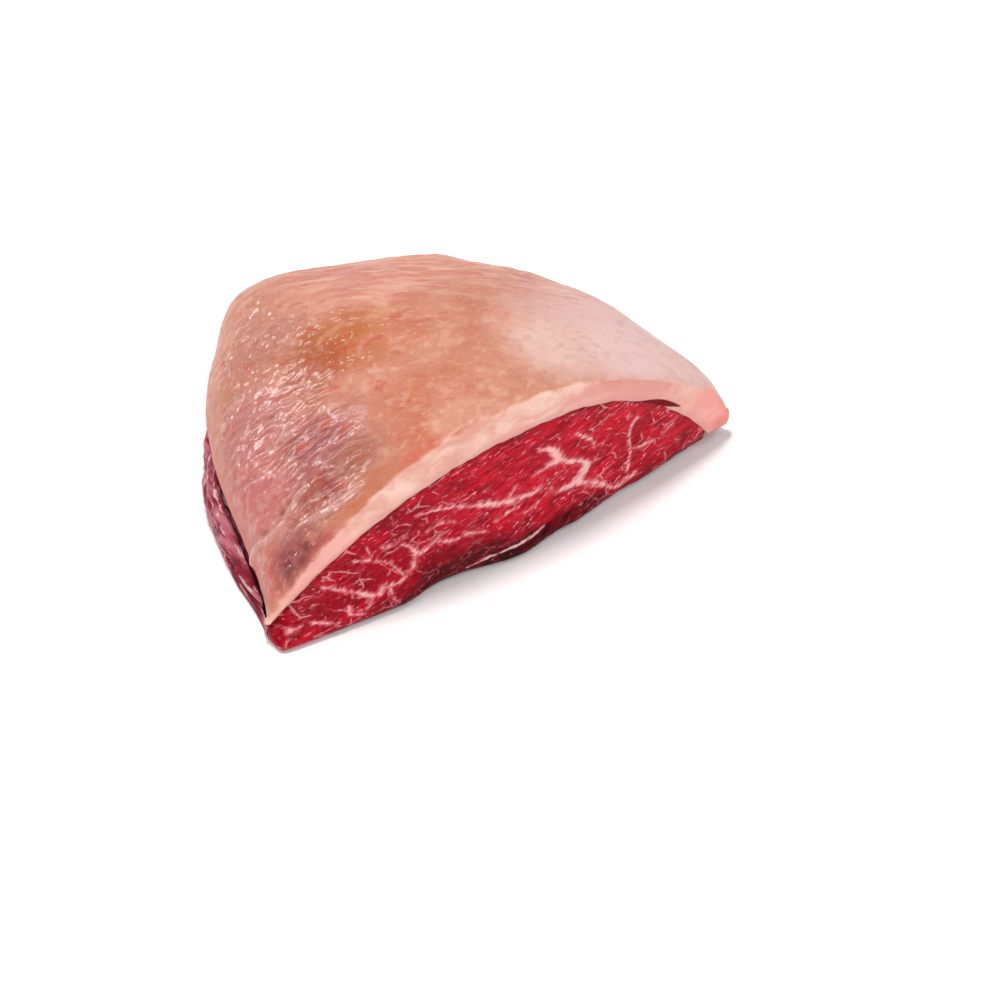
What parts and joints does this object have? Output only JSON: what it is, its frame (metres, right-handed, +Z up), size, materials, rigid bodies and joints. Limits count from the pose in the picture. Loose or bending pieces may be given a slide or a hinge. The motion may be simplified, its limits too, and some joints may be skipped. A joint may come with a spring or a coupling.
{
  "type": "raw picanha",
  "caption": "Raw beef rump cap: a domed fat layer over lean meat, cut straight across its thick end so that the marbled face shows.",
  "frame": {"origin": "on the board, under the middle of the whole piece's box", "axes": "+X along the cut from its thin left tip to its right tip, +Y from the cut to the rounded far end, +Z up"},
  "size_m": [0.1992, 0.1534, 0.066],
  "materials": {
    "lean": "raw beef muscle, moist, fine grain with white marbling on the cut face",
    "fat": "raw beef fat under a thin wet membrane, satin to glossy, creamy pink where it is cut"
  },
  "bodies": {
    "root": {"lean": "lean", "fat_cap": "fat"}
  },
  "joints": []
}
